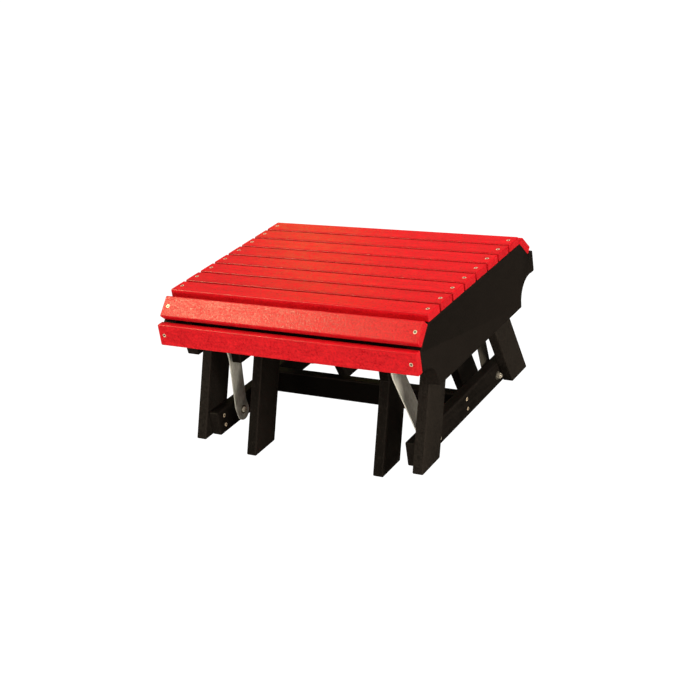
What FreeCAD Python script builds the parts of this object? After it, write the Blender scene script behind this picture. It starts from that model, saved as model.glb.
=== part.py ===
import FreeCAD, Part

import math
import os

from FreeCAD import Vector

# Glider ottoman in solid plastic lumber: a slatted seat frame hangs on four flat
# bars inside two pairs of legs, and swings to the front and the rear over its base.
# Millimetres. +X is the sitter's right, +Y the rear, +Z up, and the origin is on the
# floor under the middle of the seat.

# Stock that the boards are cut from
BOARD = 25.4
PANEL_THICK = 31.75
SLAT_THICK = 19.05
SLAT_WIDE = 50.8
SLAT_LONG = 660.4
SLAT_GAP = 6.35
SLAT_COUNT = 8
SLAT_ROUND = 4.0
BOARD_EASE = 2.0

# Seat frame
SEAT_TOP = 394.0
PANEL_TOP = SEAT_TOP - SLAT_THICK
PANEL_OUT = SLAT_LONG / 2
PANEL_IN = PANEL_OUT - PANEL_THICK
PANEL_HALF_DEPTH = 274.8
PANEL_FLAT_HALF = 229.0
PANEL_BOTTOM = 225.2
PANEL_CUT_OUT = 60.0
SLOPED_SLAT_DROP = 6.0
APRON_BOTTOM = 284.5
APRON_TOP = APRON_BOTTOM + SLAT_WIDE

# Legs of the seat, and the rails and stretcher that tie them
LEG_TILT = 23.0
LEG_WIDE = 76.2
SEAT_LEG_OUT = PANEL_IN
SEAT_LEG_IN = SEAT_LEG_OUT - BOARD
SEAT_FOOT_Y = 275.5
SEAT_FOOT_Z = 39.0
SEAT_LEG_TOP = 352.0
RAIL_IN = SEAT_LEG_IN - BOARD
RAIL_HALF_LONG = 246.0
RAIL_BOTTOM = 40.0
RAIL_TOP = 96.8

# The swing's middle plane lies a little behind the seat's
SWING_MIDDLE = 4.0

# Base that stands on the floor
BASE_LEG_OUT = 181.7
BASE_LEG_IN = BASE_LEG_OUT - BOARD
BASE_RAIL_OUT = BASE_LEG_OUT + BOARD
BASE_FOOT_Y = 254.0
BASE_RAIL_BOTTOM = 215.5
BASE_RAIL_TOP = BASE_RAIL_BOTTOM + RAIL_TOP - RAIL_BOTTOM
BASE_RAIL_HALF_LONG = 212.0
CROSS_BOARD_Y = 95.0
BASE_SCREW_OFFSET = 24.0

# Swing bars and their pivots
UPPER_PIVOT_Y = 192.0
UPPER_PIVOT_Z = 245.0
LOWER_PIVOT_Y = 160.0
LOWER_PIVOT_Z = 65.0
EYE_DISTANCE = math.hypot(UPPER_PIVOT_Y - LOWER_PIVOT_Y, UPPER_PIVOT_Z - LOWER_PIVOT_Z)
BAR_WIDE = 44.45
BAR_THICK = 3.175
BAR_END = 26.7
BAR_TAB = 18.0
BAR_BEND_INSIDE = 6.0
FACE_GAP = 0.2
WASHER_THICK = 1.8
WASHER_RADIUS = 10.0
UPPER_SPACER = 6.0
BOLT_RADIUS = 4.0
BOLT_TAIL = 4.0
HEX_HALF_FLATS = 6.5
HARDWARE_SIDES = 10
HEAD_THICK = 5.3
NUT_THICK = 6.8
BUSH_RADIUS = 6.35
RUNNING_CLEARANCE = 0.05
OPEN_CLEARANCE = 0.3

# Screws
SCREW_HEAD_RADIUS = 4.4
SCREW_HEAD_DEEP = 3.2
SCREW_SHANK_RADIUS = 2.2
SCREW_SIDES = 6
SCREW_LONG = 44.0
LONG_SCREW = 82.0
SCREW_INSET = 14.0
SCREW_MARGIN = 16.4
SEAT_LEG_SCREW_HEIGHTS = (260.0, 324.0)

SIDES = {"left": -1, "right": 1}
ENDS = {"front": -1, "rear": 1}

# Lengths closer than this count as equal when edges are picked
SAME_LENGTH = 0.01


def save(name, shape):
    shape.exportStep("parts/" + name + ".step")


def rectangle(y_from, y_to, z_from, z_to):
    return [(y_from, z_from), (y_to, z_from), (y_to, z_to), (y_from, z_to)]


def blank(outline, x_from, x_to):
    """A board with square edges, its outline drawn in the YZ plane."""
    points = [Vector(x_from, y, z) for y, z in outline]
    return Part.Face(Part.makePolygon(points + points[:1])).extrude(Vector(x_to - x_from, 0, 0))


def long_edges_at(solid, corners):
    """The full-width edges that run through corners, given as (y, z)."""
    return [
        edge for edge in solid.Edges
        if abs(edge.Length - SLAT_LONG) < SAME_LENGTH
        and any(math.dist((edge.CenterOfMass.y, edge.CenterOfMass.z), at) < SAME_LENGTH for at in corners)
    ]


def slat(under, outer):
    """A full-width slat. under and outer hold the corners of its two broad faces: the outer
    face's long edges are rounded over, and those underneath are eased."""
    solid = blank(under + outer[::-1], -PANEL_OUT, PANEL_OUT)
    solid = solid.makeFillet(SLAT_ROUND, long_edges_at(solid, outer))
    return solid.makeChamfer(BOARD_EASE, long_edges_at(solid, under))


def board(outline, x_from, x_to):
    """A structural board, every edge eased."""
    solid = blank(outline, x_from, x_to)
    return solid.makeChamfer(BOARD_EASE, solid.Edges)


def cylinder(radius, x_from, x_to, y, z):
    """A cylinder along X from one side face to another."""
    low, high = sorted((x_from, x_to))
    return Part.makeCylinder(radius, high - low, Vector(low, y, z), Vector(1, 0, 0))


def flatted(half_flats, sides, x_from, x_to, y, z):
    """A regular prism along X, half_flats from its axis to each flat. Small round hardware has
    HARDWARE_SIDES of them, which keeps its facets few."""
    corner = half_flats / math.cos(math.pi / sides)
    turns = [math.pi * (2 * k + 1) / sides for k in range(sides + 1)]
    ring = [Vector(x_from, y + corner * math.cos(a), z + corner * math.sin(a)) for a in turns]
    return Part.Face(Part.makePolygon(ring)).extrude(Vector(x_to - x_from, 0, 0))


def washer(x_from, x_to, y, z):
    ring = flatted(WASHER_RADIUS, HARDWARE_SIDES, x_from, x_to, y, z)
    return ring.cut(flatted(BOLT_RADIUS, HARDWARE_SIDES, x_from, x_to, y, z))


def screw_body(rings, place, direction):
    """A flatted solid through rings of (radius, depth), turned to run from place along direction."""
    turns = [2 * math.pi * k / SCREW_SIDES for k in range(SCREW_SIDES + 1)]
    rings = [[Vector(r * math.cos(a), r * math.sin(a), depth) for a in turns] for r, depth in rings]
    outlines = [rings[0], rings[-1]]
    for near, far in zip(rings, rings[1:]):
        for k in range(SCREW_SIDES):
            outlines.append([near[k], near[k + 1], far[k + 1], far[k], near[k]])
    faces = [Part.Face(Part.makePolygon(outline)) for outline in outlines]
    body = Part.Solid(Part.makeShell(faces))
    body.Placement = FreeCAD.Placement(place, FreeCAD.Rotation(Vector(0, 0, 1), direction))
    return body


def screw(place, direction, length):
    """A countersunk screw, its head flush at place and its shank along direction."""
    rings = [(SCREW_HEAD_RADIUS, 0), (SCREW_SHANK_RADIUS, SCREW_HEAD_DEEP), (SCREW_SHANK_RADIUS, length)]
    return screw_body(rings, place, direction)


def countersink(solid, places, direction):
    for place in places:
        rings = [(SCREW_HEAD_RADIUS, 0), (SCREW_SHANK_RADIUS, SCREW_HEAD_DEEP)]
        solid = solid.cut(screw_body(rings, place, direction))
    return solid


def save_screws(name, places, length):
    """One node for a set of like screws; places holds pairs of head place and direction."""
    save(name, Part.makeCompound([screw(place, direction, length) for place, direction in places]))


def end_places(y, z):
    """The two screw places of a slat, one over each side panel."""
    x = PANEL_OUT - SCREW_INSET
    return [Vector(-x, y, z), Vector(x, y, z)]


def top_slats():
    """Eight slats laid across the side panels, screwed down at both ends."""
    down = Vector(0, 0, -1)
    pitch = SLAT_WIDE + SLAT_GAP
    screws = []
    for number in range(SLAT_COUNT):
        middle = (number - (SLAT_COUNT - 1) / 2) * pitch
        edges = (middle - SLAT_WIDE / 2, middle + SLAT_WIDE / 2)
        solid = slat([(y, PANEL_TOP) for y in edges], [(y, SEAT_TOP) for y in edges])
        places = end_places(middle, SEAT_TOP)
        save("top_slat_%d" % (number + 1), countersink(solid, places, down))
        screws += [(place, down) for place in places]
    save_screws("top_slat_screws", screws, SCREW_LONG)


def sloped_slat(end):
    """A slat lying on the 45 degree slope at the front or rear of the panels."""
    half = math.sqrt(0.5)
    along = (end * half, -half)
    outward = (end * half, half)
    start = (end * (PANEL_FLAT_HALF + SLOPED_SLAT_DROP * half), PANEL_TOP - SLOPED_SLAT_DROP * half)

    def point(down_slope, off_face):
        return tuple(s + a * down_slope + o * off_face for s, a, o in zip(start, along, outward))

    under, outer = [[point(0, height), point(SLAT_WIDE, height)] for height in (0, SLAT_THICK)]
    middle = point(SLAT_WIDE / 2, SLAT_THICK)
    inward = Vector(0, -outward[0], -outward[1])
    return slat(under, outer), end_places(*middle), inward


def upright_slat(end, z_from, z_to):
    """A slat standing on edge against the front or rear edges of the panels."""
    face = end * PANEL_HALF_DEPTH
    outside = face + end * SLAT_THICK
    solid = slat([(face, z_from), (face, z_to)], [(outside, z_from), (outside, z_to)])
    return solid, end_places(outside, (z_from + z_to) / 2), Vector(0, -end, 0)


def end_slats():
    """The two slats of the front edge and the slat and board of the rear edge."""
    slats = {
        "front_slat_upper": sloped_slat(-1),
        "front_slat_lower": upright_slat(-1, APRON_BOTTOM, APRON_TOP),
        "rear_slat_upper": sloped_slat(1),
        "rear_board": upright_slat(1, APRON_BOTTOM, APRON_TOP),
    }
    screws = {"front": [], "rear": []}
    for name, (solid, places, inward) in slats.items():
        save(name, countersink(solid, places, inward))
        screws[name.split("_")[0]] += [(place, inward) for place in places]
    for end, places in screws.items():
        save_screws(end + "_slat_screws", places, SCREW_LONG)


def arc_through(centre, radius, x, start, stop):
    """A circular edge in the YZ plane, its angles in degrees from +Y towards +Z."""
    angles = [math.radians(a) for a in (start, (start + stop) / 2, stop)]
    points = [
        Vector(x, centre[0] + radius * math.cos(a), centre[1] + radius * math.sin(a)) for a in angles
    ]
    return Part.Arc(*points).toShape()


def panel_outline(x):
    """Side panel: 45 degree slopes at its shoulders and a quarter-round cut-out at each lower corner."""
    shoulder = PANEL_TOP - PANEL_HALF_DEPTH + PANEL_FLAT_HALF
    hollow_y = PANEL_HALF_DEPTH - SLAT_ROUND
    hollow_top = PANEL_BOTTOM + PANEL_CUT_OUT
    edges = [
        arc_through((hollow_y, PANEL_BOTTOM), PANEL_CUT_OUT, x, 180, 90),
        arc_through((-hollow_y, PANEL_BOTTOM), PANEL_CUT_OUT, x, 90, 0),
    ]
    upper = [
        (-hollow_y, hollow_top), (-PANEL_HALF_DEPTH, hollow_top), (-PANEL_HALF_DEPTH, shoulder),
        (-PANEL_FLAT_HALF, PANEL_TOP), (PANEL_FLAT_HALF, PANEL_TOP), (PANEL_HALF_DEPTH, shoulder),
        (PANEL_HALF_DEPTH, hollow_top), (hollow_y, hollow_top)
    ]
    lower = [(PANEL_CUT_OUT - hollow_y, PANEL_BOTTOM), (hollow_y - PANEL_CUT_OUT, PANEL_BOTTOM)]
    for run in (upper, lower):
        for (y1, z1), (y2, z2) in zip(run, run[1:]):
            edges.append(Part.LineSegment(Vector(x, y1, z1), Vector(x, y2, z2)).toShape())
    return Part.Wire(Part.__sortEdges__(edges))


def side_panels():
    for side, sign in SIDES.items():
        face = Part.Face(panel_outline(sign * PANEL_IN))
        panel = face.extrude(Vector(sign * PANEL_THICK, 0, 0))
        rims = [edge for edge in panel.Edges if abs(edge.Length - PANEL_THICK) > SAME_LENGTH]
        save("side_panel_" + side, panel.makeChamfer(BOARD_EASE, rims))


def leg_outline(end, foot_y, foot_z, top_z, middle=0.0):
    """A leaning leg with its foot and its top cut level, foot_y in front of or behind middle."""
    lean = math.tan(math.radians(LEG_TILT)) * (top_z - foot_z)
    wide = LEG_WIDE / math.cos(math.radians(LEG_TILT))
    foot = [(foot_y, foot_z), (foot_y - wide, foot_z)]
    top = [(foot_y - wide - lean, top_z), (foot_y - lean, top_z)]
    return [(middle + end * y, z) for y, z in foot + top]


def leg_middle(end, foot_y, foot_z, z, middle=0.0):
    """The middle of a leaning leg's width at a height."""
    wide = LEG_WIDE / math.cos(math.radians(LEG_TILT))
    return middle + end * (foot_y - wide / 2 - math.tan(math.radians(LEG_TILT)) * (z - foot_z))


def seat_legs():
    """Four leaning legs on the inner faces of the panels, screwed from inside."""
    screws = []
    for end, way in ENDS.items():
        for side, sign in SIDES.items():
            outline = leg_outline(way, SEAT_FOOT_Y, SEAT_FOOT_Z, SEAT_LEG_TOP)
            leg = board(outline, sign * SEAT_LEG_IN, sign * SEAT_LEG_OUT)
            outward = Vector(sign, 0, 0)
            places = [
                Vector(sign * SEAT_LEG_IN, leg_middle(way, SEAT_FOOT_Y, SEAT_FOOT_Z, z), z)
                for z in SEAT_LEG_SCREW_HEIGHTS
            ]
            save("seat_leg_%s_%s" % (end, side), countersink(leg, places, outward))
            screws += [(place, outward) for place in places]
    save_screws("seat_leg_screws", screws, SCREW_LONG)


def lower_rails():
    """The rails that the swing bars carry, on the inner faces of the seat legs."""
    middle = (RAIL_BOTTOM + RAIL_TOP) / 2
    heights = (RAIL_BOTTOM + SCREW_MARGIN, RAIL_TOP - SCREW_MARGIN)
    rail_screws = []
    stretcher_screws = []
    for side, sign in SIDES.items():
        outline = rectangle(-RAIL_HALF_LONG, RAIL_HALF_LONG, RAIL_BOTTOM, RAIL_TOP)
        rail = board(outline, sign * RAIL_IN, sign * SEAT_LEG_IN)
        outward = Vector(sign, 0, 0)
        leg_places = [
            Vector(sign * RAIL_IN, leg_middle(way, SEAT_FOOT_Y, SEAT_FOOT_Z, middle), z)
            for way in ENDS.values() for z in heights
        ]
        tie_places = [Vector(sign * SEAT_LEG_IN, SWING_MIDDLE, z) for z in heights]
        rail = countersink(rail, leg_places, outward)
        rail = countersink(rail, tie_places, outward * -1)
        for way in ENDS.values():
            bolt_way = flatted(
                BOLT_RADIUS, HARDWARE_SIDES, sign * RAIL_IN, sign * SEAT_LEG_IN,
                SWING_MIDDLE + way * LOWER_PIVOT_Y, LOWER_PIVOT_Z
            )
            rail = rail.cut(bolt_way)
        save("lower_rail_" + side, rail)
        rail_screws += [(place, outward) for place in leg_places]
        stretcher_screws += [(place, outward * -1) for place in tie_places]
    outline = rectangle(SWING_MIDDLE - BOARD / 2, SWING_MIDDLE + BOARD / 2, RAIL_BOTTOM, RAIL_TOP)
    save("stretcher", board(outline, -RAIL_IN, RAIL_IN))
    save_screws("rail_screws", rail_screws, SCREW_LONG)
    save_screws("stretcher_screws", stretcher_screws, SCREW_LONG + BOARD)


def base_legs():
    """Four leaning legs that stand on the floor."""
    screws = []
    heights = (BASE_RAIL_BOTTOM + SCREW_MARGIN, BASE_RAIL_TOP - SCREW_MARGIN)
    for end, way in ENDS.items():
        for side, sign in SIDES.items():
            outline = leg_outline(way, BASE_FOOT_Y, 0.0, BASE_RAIL_TOP, SWING_MIDDLE)
            leg = board(outline, sign * BASE_LEG_IN, sign * BASE_LEG_OUT)
            outward = Vector(sign, 0, 0)
            places = [
                Vector(
                    sign * BASE_LEG_IN,
                    leg_middle(way, BASE_FOOT_Y, 0.0, z, SWING_MIDDLE) + way * BASE_SCREW_OFFSET, z
                )
                for z in heights
            ]
            save("base_leg_%s_%s" % (end, side), countersink(leg, places, outward))
            screws += [(place, outward) for place in places]
    save_screws("base_leg_screws", screws, SCREW_LONG)


def base_rails():
    """The rails on the outer faces of the base legs, which carry the upper pivots."""
    heights = (BASE_RAIL_BOTTOM + SCREW_MARGIN, BASE_RAIL_TOP - SCREW_MARGIN)
    screws = []
    for side, sign in SIDES.items():
        outline = rectangle(
            SWING_MIDDLE - BASE_RAIL_HALF_LONG, SWING_MIDDLE + BASE_RAIL_HALF_LONG,
            BASE_RAIL_BOTTOM, BASE_RAIL_TOP
        )
        rail = board(outline, sign * BASE_LEG_OUT, sign * BASE_RAIL_OUT)
        inward = Vector(-sign, 0, 0)
        places = [
            Vector(sign * BASE_RAIL_OUT, SWING_MIDDLE + way * CROSS_BOARD_Y, z)
            for way in ENDS.values() for z in heights
        ]
        rail = countersink(rail, places, inward)
        for way in ENDS.values():
            bolt_way = flatted(
                BOLT_RADIUS, HARDWARE_SIDES, sign * BASE_LEG_OUT, sign * BASE_RAIL_OUT,
                SWING_MIDDLE + way * UPPER_PIVOT_Y, UPPER_PIVOT_Z
            )
            rail = rail.cut(bolt_way)
        save("base_rail_" + side, rail)
        screws += [(place, inward) for place in places]
    save_screws("cross_board_screws", screws, LONG_SCREW)


def cross_boards():
    """Two boards that tie the sides of the base together."""
    for end, way in ENDS.items():
        middle = SWING_MIDDLE + way * CROSS_BOARD_Y
        outline = rectangle(
            middle - BOARD / 2, middle + BOARD / 2, BASE_RAIL_BOTTOM, BASE_RAIL_TOP
        )
        save("cross_board_" + end, board(outline, -BASE_LEG_IN, BASE_LEG_IN))


def bar_profile(lower_x, upper_x, length):
    """The bar seen along Y: two upright tabs joined by a slanting run, with mitred bends."""
    line = [
        (lower_x, -BAR_END), (lower_x, BAR_TAB), (upper_x, length - BAR_TAB), (upper_x, length + BAR_END)
    ]
    slant = math.atan2(upper_x - lower_x, length - 2 * BAR_TAB)
    shift = BAR_THICK / 2 * math.tan(slant / 2)
    half = BAR_THICK / 2
    one_side = [
        (line[0][0] + half, line[0][1]), (line[1][0] + half, line[1][1] - shift),
        (line[2][0] + half, line[2][1] - shift), (line[3][0] + half, line[3][1])
    ]
    other_side = [
        (line[0][0] - half, line[0][1]), (line[1][0] - half, line[1][1] + shift),
        (line[2][0] - half, line[2][1] + shift), (line[3][0] - half, line[3][1])
    ]
    return one_side + other_side[::-1]


def hang(shape, way):
    """Turns and moves a bar or bush from an upright frame, whose origin is the lower eye, to its place."""
    lean = math.degrees(math.atan2(UPPER_PIVOT_Y - LOWER_PIVOT_Y, UPPER_PIVOT_Z - LOWER_PIVOT_Z))
    shape.rotate(Vector(0, 0, 0), Vector(1, 0, 0), -way * lean)
    shape.translate(Vector(0, SWING_MIDDLE + way * LOWER_PIVOT_Y, LOWER_PIVOT_Z))
    return shape


def swing_bar(side, end):
    """A flat aluminium bar with round ends, set over so that both tabs lie square to the pivots."""
    sign = SIDES[side]
    length = EYE_DISTANCE
    lower_x = sign * (RAIL_IN - WASHER_THICK - FACE_GAP - BAR_THICK / 2)
    upper_x = sign * (BASE_RAIL_OUT + UPPER_SPACER + FACE_GAP + BAR_THICK / 2)
    profile = [Vector(x, -BAR_WIDE / 2, z) for x, z in bar_profile(lower_x, upper_x, length)]
    bar = Part.Face(Part.makePolygon(profile + profile[:1])).extrude(Vector(0, BAR_WIDE, 0))
    bends = [
        edge for edge in bar.Edges
        if abs(edge.Length - BAR_WIDE) < SAME_LENGTH and 0 < edge.CenterOfMass.z < length
    ]
    bar = bar.makeFillet(BAR_BEND_INSIDE, bends)

    reach = BAR_WIDE / 2
    past = BAR_END - reach
    x_low = min(lower_x, upper_x) - BAR_THICK
    x_high = max(lower_x, upper_x) + BAR_THICK
    outline = Part.makeBox(
        x_high - x_low, BAR_WIDE, length + 2 * past, Vector(x_low, -reach, -past)
    )
    outline = outline.fuse([cylinder(reach, x_low, x_high, 0, z) for z in (-past, length + past)])
    bar = bar.common(outline.removeSplitter())
    for z in (0, length):
        bar = bar.cut(flatted(BUSH_RADIUS, HARDWARE_SIDES, x_low, x_high, 0, z))
    save("swing_bar_%s_%s" % (end, side), hang(bar, ENDS[end]))


def bush(x_from, x_to, z, clearance):
    ring = flatted(BUSH_RADIUS, HARDWARE_SIDES, x_from, x_to, 0, z)
    return ring.cut(cylinder(BOLT_RADIUS + clearance, x_from, x_to, 0, z))


def bushes(side, end):
    """Plain bushes pressed into a bar's eyes. The rear lower eyes stay open."""
    sign = SIDES[side]
    upper_face = sign * (BASE_RAIL_OUT + UPPER_SPACER + FACE_GAP)
    lower_face = sign * (RAIL_IN - WASHER_THICK - FACE_GAP)
    rings = [bush(upper_face, upper_face + sign * BAR_THICK, EYE_DISTANCE, RUNNING_CLEARANCE)]
    if end == "front":
        clearance = RUNNING_CLEARANCE if side == "left" else OPEN_CLEARANCE
        rings.append(bush(lower_face, lower_face - sign * BAR_THICK, 0, clearance))
    save("bushes_%s_%s" % (end, side), hang(Part.makeCompound(rings), ENDS[end]))


def pivot_fixing(head_face, nut_face, way, y, z):
    """A hex bolt, its nut and the washer under each, on an X axis. way is the shank's sense along X."""
    head_seat = head_face - way * WASHER_THICK
    nut_seat = nut_face + way * WASHER_THICK
    nut_end = nut_seat + way * NUT_THICK
    head = flatted(HEX_HALF_FLATS, 6, head_seat - way * HEAD_THICK, head_seat, y, z)
    shank = cylinder(BOLT_RADIUS, head_seat, nut_end + way * BOLT_TAIL, y, z)
    nut = flatted(HEX_HALF_FLATS, 6, nut_seat, nut_end, y, z)
    nut = nut.cut(flatted(BOLT_RADIUS, HARDWARE_SIDES, nut_seat, nut_end, y, z))
    washers = [washer(head_seat, head_face, y, z), washer(nut_face, nut_seat, y, z)]
    return head.fuse(shank).removeSplitter(), nut, washers


def pivots():
    """Eight bolts, each with its head against a bar and its nut on the far face of the rail."""
    for level in ("upper", "lower"):
        nuts = []
        washers = []
        for side, sign in SIDES.items():
            for end, way in ENDS.items():
                if level == "upper":
                    bar_way, spacer = sign, UPPER_SPACER
                    rail_face, far_face = sign * BASE_RAIL_OUT, sign * BASE_LEG_OUT
                    y, z = SWING_MIDDLE + way * UPPER_PIVOT_Y, UPPER_PIVOT_Z
                else:
                    bar_way, spacer = -sign, WASHER_THICK
                    rail_face, far_face = sign * RAIL_IN, sign * SEAT_LEG_IN
                    y, z = SWING_MIDDLE + way * LOWER_PIVOT_Y, LOWER_PIVOT_Z
                head_face = rail_face + bar_way * (spacer + BAR_THICK + 2 * FACE_GAP)
                bolt, nut, pair = pivot_fixing(head_face, far_face, -bar_way, y, z)
                save("%s_bolt_%s_%s" % (level, end, side), bolt)
                nuts.append(nut)
                washers += pair
                washers.append(washer(rail_face, rail_face + bar_way * spacer, y, z))
        save(level + "_nuts", Part.makeCompound(nuts))
        save(level + "_washers", Part.makeCompound(washers))


os.makedirs("parts", exist_ok=True)
top_slats()
end_slats()
side_panels()
seat_legs()
lower_rails()
base_legs()
base_rails()
cross_boards()
for bar_side in SIDES:
    for bar_end in ENDS:
        swing_bar(bar_side, bar_end)
        bushes(bar_side, bar_end)
pivots()
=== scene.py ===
import math

import bmesh
import bpy
import numpy as np
from mathutils import Matrix, Vector


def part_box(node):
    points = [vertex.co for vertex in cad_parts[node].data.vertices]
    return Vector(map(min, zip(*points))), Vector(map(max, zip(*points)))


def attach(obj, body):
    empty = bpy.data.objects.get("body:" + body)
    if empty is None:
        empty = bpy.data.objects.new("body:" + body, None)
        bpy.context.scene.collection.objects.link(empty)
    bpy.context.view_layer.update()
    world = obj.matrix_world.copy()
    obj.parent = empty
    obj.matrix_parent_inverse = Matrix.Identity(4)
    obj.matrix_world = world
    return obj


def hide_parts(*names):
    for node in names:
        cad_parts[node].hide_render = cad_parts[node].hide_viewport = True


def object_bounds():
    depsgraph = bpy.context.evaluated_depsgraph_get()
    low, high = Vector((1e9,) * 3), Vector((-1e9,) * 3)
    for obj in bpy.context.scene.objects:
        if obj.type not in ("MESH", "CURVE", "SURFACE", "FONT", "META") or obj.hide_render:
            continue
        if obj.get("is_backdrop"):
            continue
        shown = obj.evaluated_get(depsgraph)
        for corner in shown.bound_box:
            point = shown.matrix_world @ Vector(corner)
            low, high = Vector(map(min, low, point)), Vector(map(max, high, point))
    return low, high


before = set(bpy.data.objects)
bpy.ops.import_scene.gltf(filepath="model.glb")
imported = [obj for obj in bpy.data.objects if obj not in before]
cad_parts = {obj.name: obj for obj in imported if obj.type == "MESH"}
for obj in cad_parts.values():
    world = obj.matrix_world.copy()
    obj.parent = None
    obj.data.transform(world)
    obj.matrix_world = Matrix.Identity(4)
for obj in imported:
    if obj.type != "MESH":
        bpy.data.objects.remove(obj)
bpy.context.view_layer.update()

# Top slats. Eight bars of solid red plastic lumber, 2 in wide and 3/4 in thick, lie across the
# side panels with a 1/4 in gap. Their upper edges are rounded over by the extrusion die, the
# ends are sawn and eased, and each end has a countersunk screw hole.
MM = 0.001
SLAT_COUNT = 8
SLAT_ROUND = 3.2 * MM
SLAT_UNDER_ROUND = 2.3 * MM
SLAT_END_ROUND = 1.8 * MM
SUPPORT = 0.35 * MM
ARC_STEPS = 6
SCREW_INSET = 14.0 * MM
COUNTERSINK_RADIUS = 4.9 * MM
COUNTERSINK_DEPTH = 3.4 * MM
COUNTERSINK_BLUNT = 0.9 * MM
COUNTERSINK_LIFT = 0.5 * MM
COUNTERSINK_FLARE = 0.1 * MM
COUNTERSINK_SIDES = 24
SMOOTH_BELOW = math.radians(32)


def unit(vectors):
    """Each vector divided by its length."""
    return vectors / np.linalg.norm(vectors, axis=-1, keepdims=True)


def rounded_outline(corners, radii):
    """A closed outline in the YZ plane, anticlockwise, with each corner turned into an arc.

    An arc's centre lies on the corner's bisector, radius / sin(half angle) from the corner, and the
    arc touches both sides radius / tan(half angle) away. A support point follows each arc's ends.
    Returns points, outward normals, and 1 on an arc or 0 beside it."""
    corners = np.asarray(corners, float)
    radii = np.asarray(radii, float)
    back = unit(np.roll(corners, 1, 0) - corners)
    ahead = unit(np.roll(corners, -1, 0) - corners)
    half = np.arccos(np.clip((back * ahead).sum(1), -1, 1)) / 2
    reach = (radii / np.tan(half))[:, None]
    centre = corners + unit(back + ahead) * (radii / np.sin(half))[:, None]
    start = corners + back * reach
    stop = corners + ahead * reach
    first = np.arctan2(*(start - centre).T[::-1])
    turn = np.arctan2(*(stop - centre).T[::-1]) - first
    turn = (turn + math.pi) % (2 * math.pi) - math.pi
    angle = first[:, None] + turn[:, None] * np.linspace(0, 1, ARC_STEPS + 1)
    ray = np.stack([np.cos(angle), np.sin(angle)], -1)
    arc = centre[:, None] + radii[:, None, None] * ray
    normal = ray * np.sign(turn)[:, None, None]
    lead = (start + back * SUPPORT)[:, None]
    trail = (stop + ahead * SUPPORT)[:, None]
    points = np.concatenate([lead, arc, trail], 1).reshape(-1, 2)
    normals = np.concatenate([normal[:, :1], normal, normal[:, -1:]], 1).reshape(-1, 2)
    worn = np.ones(arc.shape[:2])
    beside = np.zeros((len(corners), 1))
    return points, normals, np.concatenate([beside, worn, beside], 1).ravel()


def grid_faces(rows, columns, first=0, closed_rows=False):
    """Quads of a grid whose columns close on themselves, with flat caps unless its rows close too."""
    row_count = rows if closed_rows else rows - 1
    row, column = np.meshgrid(np.arange(row_count), np.arange(columns), indexing="ij")
    row_from = row * columns
    row_to = (row + 1) % rows * columns
    after = (column + 1) % columns
    quads = np.stack([row_from + column, row_from + after, row_to + after, row_to + column], -1)
    faces = (quads.reshape(-1, 4) + first).tolist()
    if not closed_rows:
        last = first + (rows - 1) * columns
        faces += [list(range(first, first + columns)), list(range(last, last + columns))]
    return faces


def board_surface(corners, radii, x_from, x_to, end_round):
    """A board: the rounded outline carried along X, with both ends rounded over.

    At angle t round an end the outline is moved inwards by end_round * (1 - sin t) and lies
    end_round * (1 - cos t) from the end. Returns grid points, faces and the share of edge."""
    outline, normals, worn = rounded_outline(corners, radii)
    t = np.linspace(0, math.pi / 2, ARC_STEPS + 1)
    inset = np.concatenate([[end_round + SUPPORT], end_round * (1 - np.sin(t)), [0]])
    step = np.concatenate([[0], end_round * (1 - np.cos(t)), [end_round + SUPPORT]])
    end_worn = np.concatenate([[0], np.ones(ARC_STEPS + 1), [0]])
    inset = np.concatenate([inset, inset[::-1]])
    x = np.concatenate([x_from + step, x_to - step[::-1]])
    rows, count = len(x), len(outline)
    points = np.empty((rows, count, 3))
    points[:, :, 0] = x[:, None]
    points[:, :, 1:] = outline - normals * inset[:, None, None]
    share = np.maximum(np.concatenate([end_worn, end_worn[::-1]])[:, None], worn)
    return points.reshape(-1, 3), grid_faces(rows, count), share.ravel()


def piece(name, points, faces, material, share=None, tone=0.0):
    """One object at the origin from points and faces, its faces turned outwards and its sharp edges kept.
    share is 1 on worn edges, and tone shifts the material lighter or darker."""
    mesh = bpy.data.meshes.new(name)
    mesh.from_pydata(np.asarray(points).tolist(), [], faces)
    shell = bmesh.new()
    shell.from_mesh(mesh)
    bmesh.ops.recalc_face_normals(shell, faces=shell.faces)
    shell.to_mesh(mesh)
    shell.free()
    edge = mesh.attributes.new("edge", "FLOAT", "POINT")
    edge.data.foreach_set("value", np.zeros(len(points)) if share is None else share)
    shade = mesh.attributes.new("tone", "FLOAT", "POINT")
    shade.data.foreach_set("value", np.full(len(points), tone))
    mesh.shade_smooth()
    mesh.set_sharp_from_angle(angle=SMOOTH_BELOW)
    mesh.materials.append(material)
    made = bpy.data.objects.new(name, mesh)
    bpy.context.scene.collection.objects.link(made)
    return made


def round_angles(sides):
    """The angles of equal steps round a circle."""
    return np.arange(sides) * 2 * math.pi / sides


def turned(reach, depth, angle, place, direction):
    """Rings about an axis that starts at place: point (i, j) lies reach (i, j) from the axis at
    angle j, and depth i along direction."""
    direction = Vector(direction).normalized()
    side = direction.orthogonal().normalized()
    other = direction.cross(side)
    ring = np.cos(angle)[:, None] * np.array(side) + np.sin(angle)[:, None] * np.array(other)
    return np.array(place) + reach[..., None] * ring + depth[:, None, None] * np.array(direction)


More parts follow.
